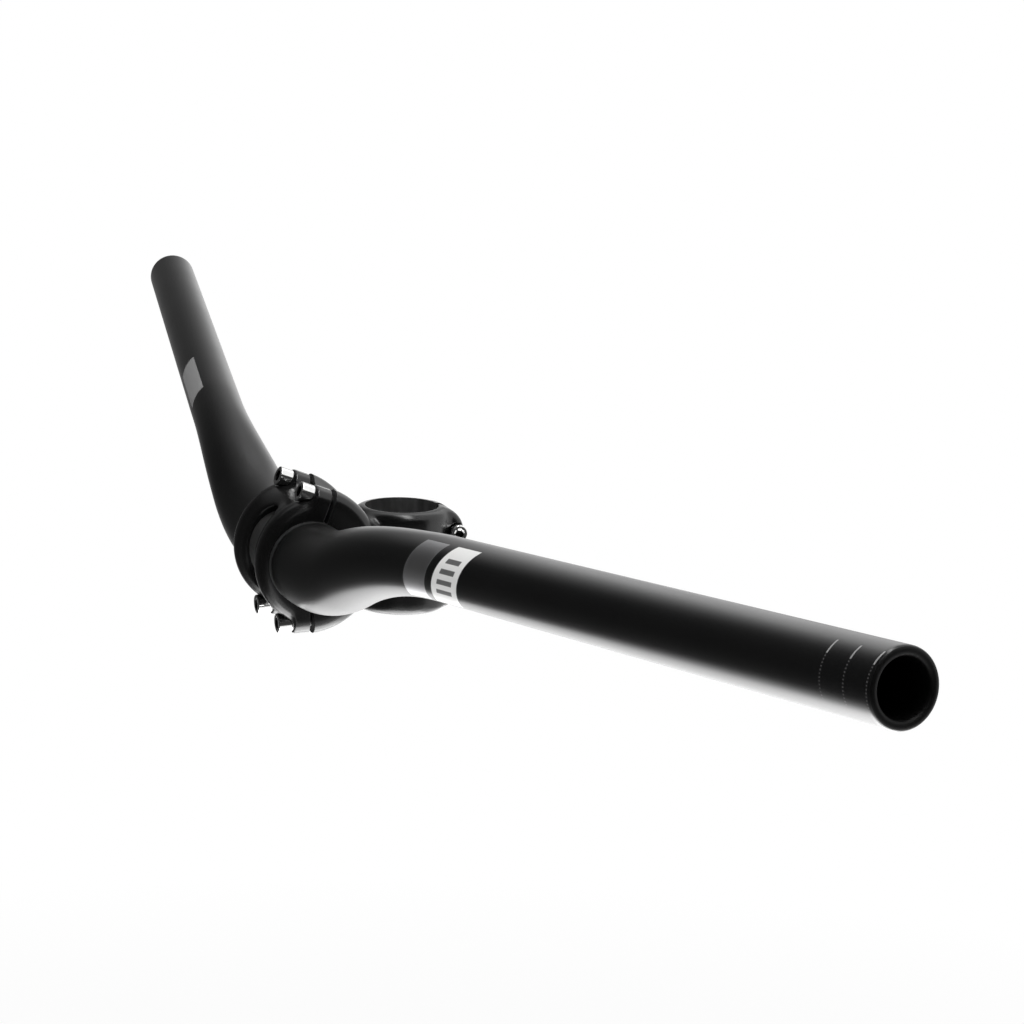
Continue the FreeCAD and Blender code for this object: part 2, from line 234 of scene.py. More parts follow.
def barFinish():
    material, tree = newMaterial("satinCarbon")
    along = put(tree, "ShaderNodeAttribute", {"attribute_name": "along"})["Fac"] * 1000
    around = put(tree, "ShaderNodeAttribute", {"attribute_name": "around"})["Vector"]
    ring = put(tree, "ShaderNodeSeparateXYZ", None, {0: around})
    angle = (0 - ring["Y"]).math("ARCTAN2", ring["X"]) * math.degrees(1)    # above forward
    place = put(tree, "ShaderNodeTexCoord")["Object"]
    grain = noise(tree, place, scale=900.0, detail=3.0)
    cloud = noise(tree, place, scale=45.0, detail=4.0)
    grit = noise(tree, place, scale=1500.0, detail=2.0)

    ends = label["endEdge"]
    band = between(angle, label["bottom"], label["top"], ends)
    grey = slanted(along, angle, label["greyStart"], label["greyEnd"]) * band
    white = slanted(along, angle, label["whiteStart"], label["whiteEnd"]) * band
    inset = label["stripeInset"]
    stripe = slanted(along - inset, angle, label["whiteStart"], label["whiteEnd"])
    stripe = stripe * slanted(along + inset, angle, label["whiteStart"], label["whiteEnd"])
    stripe = stripe * sum(between(angle, low, high, ends) for low, high in label["stripes"])
    far = slanted(0 - along, angle, label["farStart"], label["farEnd"])
    far = far * between(angle, label["farBottom"], label["farTop"], ends)

    fromTip = label["halfLength"] - along
    half = label["markWidth"] / 2
    rule = sum(between(fromTip, mark - half, mark + half, label["markEdge"]) for mark in label["marks"])
    dots = (angle / label["dotPitch"]).math("FRACT") > label["dotGap"]
    dots = between(angle, *label["dotArc"], label["arcEdge"]) * dots * label["dotShare"]
    rule = rule * (between(angle, *label["markArc"], label["arcEdge"]) + dots)

    frayed = abs(along) + (grit - 0.5) * gritCoat["fray"]
    coat = 1 - step(frayed, gritCoat["halfLength"], gritCoat["edge"])

    colour = mix(tree, cloud, bar["black"], bar["softBlack"])
    colour = mix(tree, coat, colour, mix(tree, grit, gritCoat["dark"], gritCoat["pale"]))
    colour = mix(tree, rule, colour, label["mark"])
    colour = mix(tree, far, colour, label["far"])
    colour = mix(tree, grey, colour, label["grey"])
    colour = mix(tree, white, colour, label["white"])
    colour = mix(tree, stripe, colour, label["stripe"])
    rough = bar["rough"] + cloud * 0.05 + grain * 0.03 + coat * gritCoat["rough"]
    rough = rough + white * label["whiteRough"] + grey * label["greyRough"]
    height = grain * 0.25 + coat * grit * gritCoat["height"] + (grey + white + far) * label["height"]
    bump = put(tree, "ShaderNodeBump", None, {"Height": height, "Distance": 0.00002, "Strength": 0.6})
    metal = grey * label["greyMetal"]
    surface(tree, {"Base Color": colour, "Roughness": rough, "Metallic": metal, "Normal": bump})
    return material


def tubeFinish():
    # bare composite inside the tube and on its sawn ends
    material, tree = newMaterial("bareTube")
    place = put(tree, "ShaderNodeTexCoord")["Object"]
    weave = noise(tree, place, scale=1300.0, detail=4.0)
    colour = mix(tree, weave, bar["bareDark"], bar["barePale"])
    bump = put(tree, "ShaderNodeBump", None, {"Height": weave, "Distance": 0.00004, "Strength": 0.7})
    surface(tree, {"Base Color": colour, "Roughness": bar["bareRough"] + weave * 0.15,
                   "Specular IOR Level": bar["bareShine"], "Normal": bump})
    return material


def barCorners():
    sweep = math.radians(bar["backsweep"])
    lift = math.radians(bar["upsweep"])
    grip = Vector((math.cos(lift) * math.cos(sweep), math.cos(lift) * math.sin(sweep), math.sin(lift)))
    inner = Vector(bar["innerCorner"])
    outer = Vector(bar["outerCorner"])
    tip = outer + grip * ((bar["halfWidth"] - outer.x) / grip.x)
    left = [inner, outer, tip]
    right = [Vector((-p.x, p.y, p.z)) for p in reversed(left)]
    radii = [0, bar["outerRadius"], bar["innerRadius"], bar["innerRadius"], bar["outerRadius"], 0]
    return list(zip(right + left, radii))


def barTree(material):
    tree, wires = newTree("sweptBar", ["Clamp Radius", "Grip Radius", "Clamp Zone", "Taper Length", "Step"])
    bend = put(tree, "GeometryNodeInputRadius")
    line = put(tree, "GeometryNodeFilletCurve", {"mode": "POLY"},
               {"Curve": wires["Geometry"], "Count": bar["bendSteps"], "Radius": bend})
    line = put(tree, "GeometryNodeResampleCurve", {"mode": "LENGTH"},
               {"Curve": line, "Length": wires["Step"]})
    line = put(tree, "GeometryNodeSetCurveNormal", {"mode": "Z_UP"}, {"Curve": line})
    along = put(tree, "GeometryNodeSplineParameter")["Length"] - put(tree, "GeometryNodeSplineLength") * 0.5
    share = ((abs(along) - wires["Clamp Zone"] * 0.5) / wires["Taper Length"]).clip()
    ease = share * share * (3 - 2 * share)
    radius = wires["Clamp Radius"] + (wires["Grip Radius"] - wires["Clamp Radius"]) * ease
    line = put(tree, "GeometryNodeStoreNamedAttribute", {"data_type": "FLOAT", "domain": "POINT"},
               {"Geometry": line, "Name": "along", "Value": along})
    ring = put(tree, "GeometryNodeCurvePrimitiveCircle", None, {"Resolution": bar["sides"], "Radius": 1.0})
    ring = put(tree, "GeometryNodeStoreNamedAttribute", {"data_type": "FLOAT_VECTOR", "domain": "POINT"},
               {"Geometry": ring, "Name": "around", "Value": put(tree, "GeometryNodeInputPosition")})
    skin = put(tree, "GeometryNodeCurveToMesh", None, {"Curve": line, "Profile Curve": ring, "Scale": radius})
    skin = put(tree, "GeometryNodeSetShadeSmooth", None, {"Geometry": skin})
    closeTree(tree, skin, material)
    return tree


def makeBar():
    curve = bpy.data.curves.new("barLine", "CURVE")
    curve.dimensions = "3D"
    spline = curve.splines.new("POLY")
    corners = barCorners()
    spline.points.add(len(corners) - 1)
    for point, (place, radius) in zip(spline.points, corners):
        point.co = (*(place + Vector(bar["centre"])), 1)
        point.radius = radius
    carrier = bpy.data.objects.new("barLine", curve)
    scene.collection.objects.link(carrier)
    wear(carrier, barTree(barFinish()), {
        "Clamp Radius": bar["clampDiameter"] / 2, "Grip Radius": bar["gripDiameter"] / 2,
        "Clamp Zone": bar["clampZone"], "Taper Length": bar["taperLength"], "Step": bar["step"],
    })
    skin = settle(carrier, "barSkin")
    skin.data.materials.append(tubeFinish())
    wall = skin.modifiers.new("wall", "SOLIDIFY")
    wall.thickness = bar["wall"]
    wall.offset = -1
    wall.use_even_offset = True
    wall.material_offset = 1
    wall.material_offset_rim = 1
    lip = skin.modifiers.new("lip", "BEVEL")
    lip.width = bar["tipRound"]
    lip.segments = bar["tipSteps"]
    lip.limit_method = "ANGLE"
    lip.angle_limit = math.radians(bar["tipAngle"])
    piece = settle(skin, "handlebarTube")
    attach(piece, "root")
    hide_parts("handlebar")
    print("bar swept:", len(piece.data.polygons), "faces")


makeBar()


# solids as rings of points

still = Matrix.Identity(4)
alongX = Matrix.Rotation(math.radians(90), 4, "Y")
forward = Matrix.Rotation(math.radians(90), 4, "X")


def fullTurn(sides):
    return [2 * math.pi * side / sides for side in range(sides)]


def quarterTurn(parts, first=0):
    return [math.radians(first + 90 * part / parts) for part in range(parts + 1)]


def polar(radius, turn, height):
    return (radius * math.cos(turn), radius * math.sin(turn), height)


def rectangle(left, bottom, right, top):
    return [(left, bottom), (right, bottom), (right, top), (left, top)]


def roundedRect(low, high, radii):
    # corner radii go round from the upper right
    spots = [
        (high[0], high[1], -1, -1, 0), (low[0], high[1], 1, -1, 90),
        (low[0], low[1], 1, 1, 180), (high[0], low[1], -1, 1, 270),
    ]
    outline = []
    for (x, y, across, up, first), radius in zip(spots, radii):
        if radius:
            x += across * radius
            y += up * radius
            turns = quarterTurn(8, first)
            outline += [(x + radius * math.cos(turn), y + radius * math.sin(turn)) for turn in turns]
        else:
            outline.append((x, y))
    return outline


def rings(loops):
    # a closed skin through equal loops of points, capped at both ends
    form = bmesh.new()
    rows = [[form.verts.new(point) for point in loop] for loop in loops]
    count = len(rows[0])
    for near, far in zip(rows, rows[1:]):
        for here in range(count):
            after = (here + 1) % count
            form.faces.new((near[here], near[after], far[after], far[here]))
    form.faces.new(rows[0])
    form.faces.new(rows[-1])
    bmesh.ops.recalc_face_normals(form, faces=form.faces)
    return form


def prism(outline, low, high):
    return rings([[(x, y, z) for x, y in outline] for z in (low, high)])


def lathe(profile, sides=160):
    turns = fullTurn(sides)
    return rings([[polar(radius, turn, along) for turn in turns] for along, radius in profile])


def rod(radius, low, high, sides=96):
    return lathe([(low, radius), (high, radius)], sides)


def waistedDrum(radius, width, edge, hollowDepth, hollowWidth):
    sweep = ((hollowWidth / 2) ** 2 + hollowDepth ** 2) / (2 * hollowDepth)
    half = width / 2
    rim = []
    for turn in quarterTurn(8):
        rim.append((-half + edge - edge * math.cos(turn), radius - edge + edge * math.sin(turn)))
    waist = []
    waistParts = 24
    for part in range(waistParts + 1):
        along = hollowWidth * (part / waistParts - 0.5)
        waist.append((along, radius - hollowDepth + sweep - math.sqrt(sweep ** 2 - along ** 2)))
    return lathe(rim + waist + [(-along, out) for along, out in reversed(rim)])


def shape(form, place, material=None, name="tool"):
    mesh = bpy.data.meshes.new(name)
    form.transform(place)
    if place.determinant() < 0:
        bmesh.ops.reverse_faces(form, faces=form.faces)
    form.to_mesh(mesh)
    form.free()
    if material:
        mesh.materials.append(material)
    thing = bpy.data.objects.new(name, mesh)
    scene.collection.objects.link(thing)
    return thing


# forging: blended blanks, then machined with sharp cuts

clamp = {
    "centre": (0, -0.0425, 0.0241), "tilt": 8.8, "width": 0.043, "seatRadius": 0.01595, "seatCut": 0.05,
    "splitAngle": 12, "splitGap": 0.0018, "splitCut": 0.12,
    "boltInset": 0.0065, "boltOffset": 0.0236, "lugDepth": 0.0062,
    "threadRadius": 0.00255, "threadCut": (-0.0095, 0.01),
    "holeRadius": 0.00265, "holeCut": (-0.02, 0.02), "headRoom": 0.0003, "headCut": 0.03,
}
stem = {
    "cheekRadius": 0.0285, "cheekRound": 0.005, "waistDepth": 0.004, "waistWidth": 0.026,
    "boreRadius": 0.0143, "boreCut": (-0.02, 0.07), "stack": 0.040, "wall": 0.0042, "rimRound": 0.0034,
    "neckFront": (-0.0305, 0.02294, 0.037, 0.027), "neckRear": (0.0, 0.020, 0.031, 0.029),
    "neckRound": 0.009,
    "earReach": 0.0232, "earWidth": 0.019, "earCorner": 0.010, "earRound": 0.0026,
    "slot": 0.003, "slotReach": 0.05, "slotCut": (-0.02, 0.06),
    "pinchSetback": 0.0194, "pinchSpacing": 0.0206, "pinchSeat": 0.0086,
    "pinchHeadRadius": 0.0039, "pinchRadius": 0.00205, "pinchCut": 0.03,
    "voxel": 0.0006, "blend": 0.0024, "ease": 0.0006, "soften": 4, "relax": 8,
    "black": (0.002, 0.002, 0.002, 1), "softBlack": (0.004, 0.004, 0.0042, 1),
    "rough": 0.2, "softEdge": 0.0003,
    "boreDark": (0.005, 0.005, 0.005, 1), "borePale": (0.05, 0.05, 0.05, 1), "boreRough": 0.36,
}
plate = {
    "radius": 0.0251, "setback": 0.0056, "round": 0.0046, "saddleDepth": 0.0020, "saddleWidth": 0.028,
    "lugRise": 0.0043, "lugRound": 0.0052,
    "windowWidth": 0.0150, "windowHeight": 0.032, "windowCorner": 0.0070, "windowCut": 0.04,
    "windowReach": 0.005, "windowFade": 0.003, "windowRelax": 40,
    "voxel": 0.00042, "blend": 0.0016, "ease": 0.0005, "soften": 4, "relax": 6,
}
clampPlace = Matrix.Translation(clamp["centre"]) @ Matrix.Rotation(math.radians(-clamp["tilt"]), 4, "X")
splitTurn = Matrix.Rotation(math.radians(90 - clamp["splitAngle"]), 4, "X")
boltSeat = clamp["splitGap"] / 2 + clamp["lugDepth"]


def mirrored(upper):
    return Matrix.Diagonal((1, 1, 1 if upper else -1, 1))


def boltPlace(side, upper):
    across = side * (clamp["width"] / 2 - clamp["boltInset"])
    local = Matrix.Translation((across, 0, 0)) @ splitTurn @ Matrix.Translation((0, clamp["boltOffset"], 0))
    return clampPlace @ mirrored(upper) @ local


def pinchPlace(upper):
    height = stem["stack"] / 2 + stem["pinchSpacing"] / 2 * (1 if upper else -1)
    return Matrix.Translation((0, stem["pinchSetback"], height)) @ alongX


def blendBlank(parts, name, rule, material, pocket=None):
    # swell, shrink and swell again: hollow corners fill and outer edges ease to soft radii
    merged = bmesh.new()
    for part in parts:
        merged.from_mesh(part.data)
        bpy.data.objects.remove(part)
    blank = shape(merged, still, material, name)

    def reskin(rounds):
        skin = blank.modifiers.new("skin", "REMESH")
        skin.mode = "VOXEL"
        skin.voxel_size = rule["voxel"]
        relax = blank.modifiers.new("relax", "SMOOTH")
        relax.factor = 0.5
        relax.iterations = rounds

    reskin(0)
    if pocket:
        trim = blank.modifiers.new("pocket", "BOOLEAN")
        trim.operation = "DIFFERENCE"
        trim.solver = "EXACT"
        trim.object = pocket
        reskin(rule["soften"])
    for swell in (rule["blend"], -rule["blend"] - rule["ease"], rule["ease"]):
        push = blank.modifiers.new("push", "DISPLACE")
        push.mid_level = 0
        push.strength = swell
        reskin(rule["soften"])
    blank.modifiers[-1].iterations = rule["relax"]
    done = settle(blank, name)
    if pocket:
        bpy.data.objects.remove(pocket)
    return done


def easeWindow(blank):
    # the arms beside the window are rounded over towards it
    near = blank.vertex_groups.new(name="window")
    back = clampPlace.inverted()
    reach = plate["windowReach"]
    for vertex in blank.data.vertices:
        local = back @ vertex.co
        out = max(abs(local.x) - plate["windowWidth"] / 2, abs(local.z) - plate["windowHeight"] / 2)
        if local.y < 0 and out < reach:
            near.add([vertex.index], min(1.0, (reach - out) / plate["windowFade"]), "REPLACE")
    relax = blank.modifiers.new("relax", "SMOOTH")
    relax.factor = 0.5
    relax.iterations = plate["windowRelax"]
    relax.vertex_group = "window"
    return settle(blank, "plateBlank")


def machine(blank, tools, name, node, smoothAngle=32):
    for tool in tools:
        trim = blank.modifiers.new("trim", "BOOLEAN")
        trim.operation = "DIFFERENCE"
        trim.solver = "EXACT"
        trim.object = tool
        trim.material_mode = "TRANSFER"
    piece = settle(blank, name)
    for tool in tools:
        bpy.data.objects.remove(tool)
    piece.data.polygons.foreach_set("use_smooth", [True] * len(piece.data.polygons))
    piece.data.set_sharp_from_angle(angle=math.radians(smoothAngle))
    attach(piece, "root")
    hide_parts(node)
    print(name, "machined:", len(piece.data.polygons), "faces")


def splitBlock(upper, ahead, material):
    # everything ahead of one split face, or everything behind it
    far = clamp["splitCut"]
    gap = clamp["splitGap"] / 2
    low, high = (-gap, far) if ahead else (-far, gap)
    start = -far if ahead else 0
    block = prism(rectangle(-far, start, far, far), low, high)
    return shape(block, clampPlace @ mirrored(upper) @ splitTurn, material)


def seatRod(material):
    return shape(rod(clamp["seatRadius"], -clamp["seatCut"], clamp["seatCut"]), clampPlace @ alongX, material)


def stemFinish():
    material, tree = newMaterial("satinForging")
    place = put(tree, "ShaderNodeTexCoord")["Object"]
    grain = noise(tree, place, scale=2200.0, detail=2.0)
    cloud = noise(tree, place, scale=70.0, detail=4.0)
    colour = mix(tree, cloud, stem["black"], stem["softBlack"])
    softEdge = put(tree, "ShaderNodeBevel", {"samples": 6}, {"Radius": stem["softEdge"]})
    bump = put(tree, "ShaderNodeBump", None,
               {"Height": grain, "Distance": 0.00001, "Strength": 0.5, "Normal": softEdge})
    rough = stem["rough"] + cloud * 0.06 + grain * 0.04
    surface(tree, {"Base Color": colour, "Roughness": rough, "IOR": 1.55, "Normal": bump})
    return material


def boreFinish():
    material, tree = newMaterial("machinedBore")
    place = put(tree, "ShaderNodeTexCoord")["Object"]
    drawn = put(tree, "ShaderNodeMapping", None, {"Vector": place, "Scale": (1.0, 1.0, 0.18)})
    streak = noise(tree, drawn, scale=420.0, detail=5.0)
    blotch = noise(tree, place, scale=160.0, detail=3.0)
    share = ((streak * 0.6 + blotch * 0.6 - 0.35) * 2).clip()
    colour = mix(tree, share, stem["boreDark"], stem["borePale"])
    bump = put(tree, "ShaderNodeBump", None, {"Height": streak, "Distance": 0.00003, "Strength": 0.6})
    surface(tree, {"Base Color": colour, "Roughness": stem["boreRough"] + blotch * 0.2, "Normal": bump})
    return material


def barrelForm():
    outside = stem["boreRadius"] + stem["wall"]
    rim = stem["rimRound"]
    lip = []
    for turn in quarterTurn(8):
        lip.append((rim - rim * math.cos(turn), outside - rim + rim * math.sin(turn)))
    return lathe(lip + [(stem["stack"] - along, radius) for along, radius in reversed(lip)])


def neckForm():
    loops = []
    for along, middle, wide, tall in (stem["neckFront"], stem["neckRear"]):
        low = (-wide / 2, middle - tall / 2)
        high = (wide / 2, middle + tall / 2)
        loops.append([(x, along, z) for x, z in roundedRect(low, high, [stem["neckRound"]] * 4)])
    return rings(loops)


def earForm():
    # both ears as one block, which the slot parts
    easing = stem["earRound"]
    sections = []
    for turn in quarterTurn(6):
        inset = easing * (1 - math.sin(turn))
        bend = stem["earCorner"] - inset
        high = (stem["earReach"] - inset, stem["stack"] - inset)
        across = -stem["earWidth"] / 2 + easing * (1 - math.cos(turn))
        sections.append((across, roundedRect((0, inset), high, [bend, 0, 0, bend])))
    sections += [(-across, outline) for across, outline in reversed(sections)]
    return rings([[(across, y, z) for y, z in outline] for across, outline in sections])


def makeStem(black, bore):
    drum = waistedDrum(stem["cheekRadius"], clamp["width"], stem["cheekRound"],
                       stem["waistDepth"], stem["waistWidth"])
    parts = [shape(drum, clampPlace @ alongX)]
    parts += [shape(form, still) for form in (barrelForm(), neckForm(), earForm())]
    blank = blendBlank(parts, "stemBlank", stem, black)
    slot = rectangle(-stem["slot"] / 2, 0, stem["slot"] / 2, stem["slotReach"])
    tools = [
        seatRod(bore),
        shape(rod(stem["boreRadius"], *stem["boreCut"], 160), still, bore),
        shape(prism(slot, *stem["slotCut"]), still, bore),
    ]
    cut = stem["pinchCut"]
    for upper in (True, False):
        tools.append(splitBlock(upper, True, bore))
        tools.append(shape(rod(stem["pinchHeadRadius"], stem["pinchSeat"], cut), pinchPlace(upper), black))
        tools.append(shape(rod(stem["pinchRadius"], -cut, cut), pinchPlace(upper), bore))
        for side in (1, -1):
            thread = rod(clamp["threadRadius"], *clamp["threadCut"])
            tools.append(shape(thread, boltPlace(side, upper), bore))
    machine(blank, tools, "stemForging", "stem_body")


def makePlate(black, bore):
    arch = waistedDrum(plate["radius"], clamp["width"], plate["round"],
                       plate["saddleDepth"], plate["saddleWidth"])
    parts = [shape(arch, clampPlace @ Matrix.Translation((0, plate["setback"], 0)) @ alongX)]
    down = clamp["boltOffset"] - bar["clampDiameter"] / 2
    outline = roundedRect((-clamp["boltInset"], -down), (clamp["boltInset"], plate["lugRise"]),
                          [plate["lugRound"], plate["lugRound"], 0, 0])
    lugs = [(side, upper) for side in (1, -1) for upper in (True, False)]
    for side, upper in lugs:
        parts.append(shape(prism(outline, -clamp["lugDepth"], boltSeat), boltPlace(side, upper)))
    wide, tall = plate["windowWidth"], plate["windowHeight"]
    window = roundedRect((-wide / 2, -tall / 2), (wide / 2, tall / 2), [plate["windowCorner"]] * 4)
    pocket = shape(prism(window, 0, plate["windowCut"]), clampPlace @ forward)
    blank = easeWindow(blendBlank(parts, "plateBlank", plate, black, pocket))
    seat, reach = clamp["seatRadius"], clamp["seatCut"]
    channel = prism(rectangle(-reach, -seat, reach, seat), -reach, 0)
    tools = [seatRod(bore), shape(channel, clampPlace @ forward, bore)]
    tools += [splitBlock(upper, False, bore) for upper in (True, False)]
    for side, upper in lugs:
        hole = rod(clamp["holeRadius"], *clamp["holeCut"])
        tools.append(shape(hole, boltPlace(side, upper), bore))
        head = rod(screw["headRadius"] + clamp["headRoom"], boltSeat, clamp["headCut"])
        tools.append(shape(head, boltPlace(side, upper), black))
    machine(blank, tools, "clampPlate", "faceplate")


# socket screws: one mould a size, set out on seat points

screw = {
    "headRadius": 0.00375, "headHeight": 0.0052, "radius": 0.0025, "length": 0.016,
    "hex": 0.004, "pitch": 0.0008, "round": 0.0005, "sides": 48, "turn": 37,
}
pinchScrew = {
    "headRadius": 0.0034, "headHeight": 0.0044, "radius": 0.0020, "length": 0.016,
    "hex": 0.003, "pitch": 0.0007, "round": 0.0005, "sides": 48, "turn": 20,
}

# what both sizes share, the shares being of the pitch, the head's height or the socket's width
screwForm = {
    "neck": 0.0015, "threadShare": 0.34, "rowsPerTurn": 8,
    "socketShare": 0.55, "pointShare": 0.15, "pointDepth": 0.0004,
    "smoothAngle": 35, "underHead": 0.0001,
    # dark: painted shade for the thread and the socket's recess
    "dull": (0.86, 0.86, 0.85, 1), "bright": (0.95, 0.95, 0.94, 1), "dark": (0.04, 0.04, 0.04, 1),
    "rough": 0.05, "darkRough": 0.3,
}


def screwFinish():
    material, tree = newMaterial("brightSteel")
    place = put(tree, "ShaderNodeTexCoord")["Object"]
    haze = noise(tree, place, scale=800.0, detail=4.0)
    dark = put(tree, "ShaderNodeAttribute", {"attribute_name": "dark"})["Fac"]    # painted shade on the thread and in the socket
    colour = mix(tree, haze, screwForm["dull"], screwForm["bright"])
    colour = mix(tree, dark, colour, screwForm["dark"])
    rough = screwForm["rough"] + haze * 0.06 + dark * screwForm["darkRough"]
    surface(tree, {"Base Color": colour, "Roughness": rough, "Metallic": 1.0})
    return material


def screwMould(size, material):
    turns = fullTurn(size["sides"])

    def circle(radius, height):
        return [polar(radius, turn, height) for turn in turns]

    def hexagon(width, height):
        loop = []
        for turn in turns:
            radius = width / 2 / math.cos((turn + math.pi / 6) % (math.pi / 3) - math.pi / 6)
            loop.append(polar(radius, turn, height))
        return loop

    def thread(height, depth):
        loop = []
        for turn in turns:
            wave = 0.5 + 0.5 * math.cos(2 * math.pi * height / size["pitch"] - turn)
            loop.append(polar(size["radius"] - depth * wave, turn, height))
        return loop

    tip = -size["length"]
    neck = -screwForm["neck"]
    depth = screwForm["threadShare"] * size["pitch"]
    rows = int((neck - tip) / size["pitch"] * screwForm["rowsPerTurn"])
    loops = [circle(size["radius"] - 2 * depth, tip)]
    loops += [thread(tip + (neck - tip) * row / rows, depth) for row in range(1, rows)]
    loops.append(circle(size["radius"], neck))
    loops.append(circle(size["radius"], 0))
    rim, top, ease = size["headRadius"], size["headHeight"], size["round"]
    loops.append(circle(rim - ease / 4, 0))
    loops.append(circle(rim, ease / 4))
    for turn in quarterTurn(5):
        loops.append(circle(rim - ease + ease * math.cos(turn), top - ease + ease * math.sin(turn)))
    mouth = size["hex"] / math.sqrt(3)
    floor = top - screwForm["socketShare"] * top
    loops.append(circle(mouth + ease / 2, top))
    loops.append(hexagon(size["hex"], top - ease * 0.6))
    loops.append(hexagon(size["hex"], floor))
    loops.append(hexagon(size["hex"] * screwForm["pointShare"], floor - screwForm["pointDepth"]))
    mould = shape(rings(loops), still, material, "screwMould")
    # painted shade: the thread below the head and the socket's recess are marked dark
    mark = mould.data.attributes.new("dark", "FLOAT", "POINT")
    for vertex, value in zip(mould.data.vertices, mark.data):
        sunk = vertex.co.xy.length < mouth + ease / 4
        value.value = 1.0 if vertex.co.z < -screwForm["underHead"] or sunk else 0.0
    mould.data.polygons.foreach_set("use_smooth", [True] * len(mould.data.polygons))
    mould.data.set_sharp_from_angle(angle=math.radians(screwForm["smoothAngle"]))
    return mould


def screwTree(mould, material):
    tree, wires = newTree("screwSet", ["Turn"])
    outward = put(tree, "GeometryNodeInputNamedAttribute", {"data_type": "FLOAT_VECTOR"}, {"Name": "outward"})
    aim = put(tree, "FunctionNodeAlignRotationToVector", {"axis": "Z"}, {"Vector": outward})
    source = put(tree, "GeometryNodeObjectInfo", {"transform_space": "ORIGINAL"}, {"Object": mould})
    placed = put(tree, "GeometryNodeInstanceOnPoints", None,
                 {"Points": wires["Geometry"], "Instance": source["Geometry"], "Rotation": aim})
    spin = put(tree, "GeometryNodeInputIndex") * wires["Turn"]
    roll = put(tree, "ShaderNodeCombineXYZ", None, {"Z": spin})
    turned = put(tree, "GeometryNodeRotateInstances", None, {"Instances": placed, "Rotation": roll})
    closeTree(tree, turned, material)
    return tree


def makeScrews(name, node, size, seats, material):
    # seats are the places of the screws with the height of the seat along each
    mesh = bpy.data.meshes.new(name + "Seats")
    mesh.from_pydata([place @ Vector((0, 0, height)) for place, height in seats], [], [])
    aims = mesh.attributes.new("outward", "FLOAT_VECTOR", "POINT")
    for value, (place, height) in zip(aims.data, seats):
        value.vector = place.to_3x3() @ Vector((0, 0, 1))
    carrier = bpy.data.objects.new(name + "Seats", mesh)
    scene.collection.objects.link(carrier)
    mould = screwMould(size, material)
    wear(carrier, screwTree(mould, material), {"Turn": math.radians(size["turn"])})
    piece = settle(carrier, name)
    bpy.data.objects.remove(mould)
    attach(piece, "root")
    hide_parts(node)
    print(name, "set:", len(piece.data.polygons), "faces")


black = stemFinish()
boreGrey = boreFinish()
steel = screwFinish()
makeStem(black, boreGrey)
makePlate(black, boreGrey)
boltSeats = [(boltPlace(side, upper), boltSeat) for upper in (True, False) for side in (1, -1)]
pinchSeats = [(pinchPlace(upper), stem["pinchSeat"]) for upper in (True, False)]
makeScrews("faceplateScrews", "faceplate_bolts", screw, boltSeats, steel)
makeScrews("pinchScrews", "pinch_bolts", pinchScrew, pinchSeats, steel)


# studio: pale floor, soft lamps, cards that only the gloss sees, and the camera

studio = {
    "floorDrop": 0.60, "floorSize": 40.0, "floorGrey": (0.9, 0.9, 0.9, 1), "airLevel": 0.35,
    "shadowReach": 1.2, "shadowFade": 0.6, "shadowShare": 0.12,
    "cameraPlace": (0.986058, -0.321485, 0.261245), "cameraAim": (0.023933, 0.036509, 0.040664),
    "cameraRoll": 1.795, "lens": 96.59, "sensor": 36,
}
floorLevel = cadBox[0][2] - studio["floorDrop"]
lamps = {
    "overhead": {"place": (0.1, 0.1, 1.3), "aim": (0.1, 0, 0.02), "size": (1.2, 1.0),
                 "power": 12, "glossy": False},
    "front": {"place": (0.5, -1.4, 0.9), "aim": (0, 0, 0.02), "size": (1.0, 0.8),
              "power": 8, "glossy": False},
    "strip": {"place": (0.15, 0.1, 1.1), "aim": (0.15, 0.1, 0), "size": (1.6, 0.2),
              "power": 8, "diffuse": False},
    "under": {"place": (0.1, 0.0, floorLevel + 0.05), "aim": (0.1, 0.0, 1), "size": (0.7, 0.7),
              "power": 8, "diffuse": False},
    "table": {"place": (-0.3, 0.26, floorLevel + 0.02), "aim": (-0.3, 0.26, 1), "size": (1.8, 1.0),
              "power": 9},
}
cards = {
    "left": -1.0, "right": 1.4, "front": -0.6, "frontTop": 1.0, "topRear": 0.45, "topHeight": 1.25,
    "sideRear": 0.62, "sideTop": 1.5, "cameraSideRear": 1.6, "cameraSideTop": 0.9,
    "floorCorners": ((-1.1, -0.6), (-0.3, -0.6), (-0.72, -0.17), (-1.1, 0.05)), "floorLift": 0.03,
    "overEnds": ((-0.1, -0.2), (-0.1, 0.3)), "overHeights": (0.14, 0.45),
    "darkLevel": 0.035, "darkFall": 0.06,
    "overMiddle": -0.07, "overFade": 0.26, "overPower": 1.5, "overStrength": 1.5,
}

# how the side card pales from its front edge to the rear, and from its middle up and down
sideCard = {
    "strength": 1.5, "level": 0.035, "slope": 0.09, "gain": 1.1, "most": 0.56,
    "rearStart": -0.45, "rearSpan": 0.95, "highStart": 0.3, "highSpan": 0.6,
    "lowGain": 4, "lowTop": 0.3, "lowRear": 0.42, "lowFade": 0.12, "lowDrop": 0.75,
    "highDrop": 0.8, "highLevel": 0.2, "highRear": 0.5,
}


def lamp(name, place, aim, size, power, glossy=True, diffuse=True):
    light = bpy.data.lights.new(name, "AREA")
    light.shape = "RECTANGLE"
    light.size = size[0]
    light.size_y = size[1]
    light.energy = power
    thing = bpy.data.objects.new(name, light)
    thing.location = place
    thing.rotation_euler = (Vector(aim) - Vector(place)).to_track_quat("-Z", "Y").to_euler()
    thing.visible_camera = False
    thing.visible_glossy = glossy
    thing.visible_diffuse = diffuse
    scene.collection.objects.link(thing)


